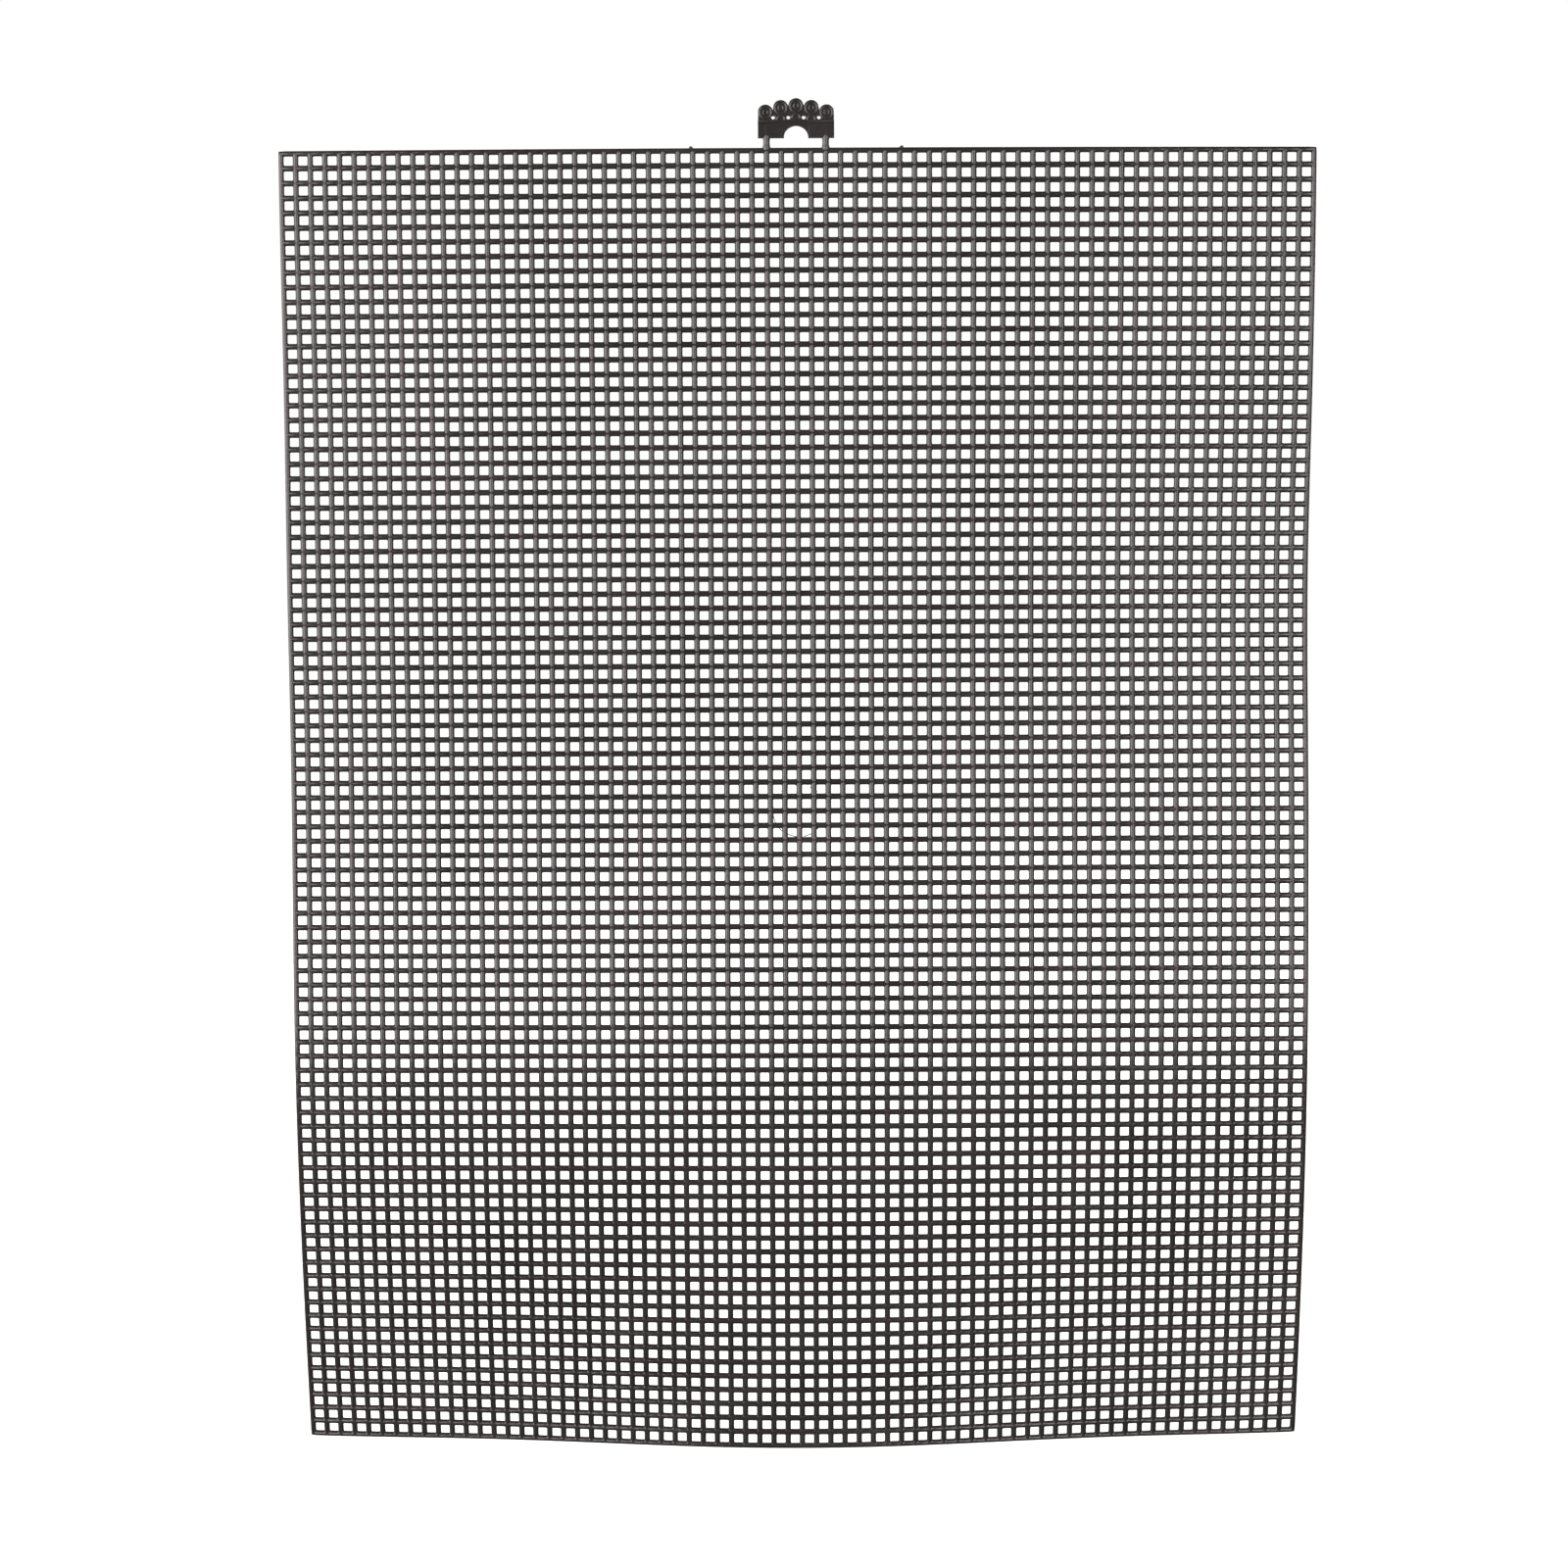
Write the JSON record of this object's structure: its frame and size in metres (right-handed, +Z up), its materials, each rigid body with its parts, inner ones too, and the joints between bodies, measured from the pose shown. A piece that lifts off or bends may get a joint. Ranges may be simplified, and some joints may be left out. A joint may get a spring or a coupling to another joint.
{
  "type": "plastic canvas sheet",
  "caption": "Flat moulded plastic needlework mesh with square stitch holes, narrow edge bars and a snap-off hang tab with a half-round peg notch.",
  "frame": {"origin": "middle of the sheet's bottom edge, at half its thickness", "axes": "+Z up the sheet towards the hang tab, -Y out of the front face, +X to the right seen from the front"},
  "size_m": [0.267, 0.0016, 0.3554],
  "materials": {
    "black_plastic": "satin, as moulded"
  },
  "bodies": {
    "root": {"front_grid": "black_plastic", "back_grid": "black_plastic", "hanger_plate": "black_plastic", "hanger_crest": "black_plastic", "hanger_leg_left": "black_plastic", "hanger_leg_right": "black_plastic", "gate_stub_left": "black_plastic", "gate_stub_right": "black_plastic"}
  },
  "joints": []
}
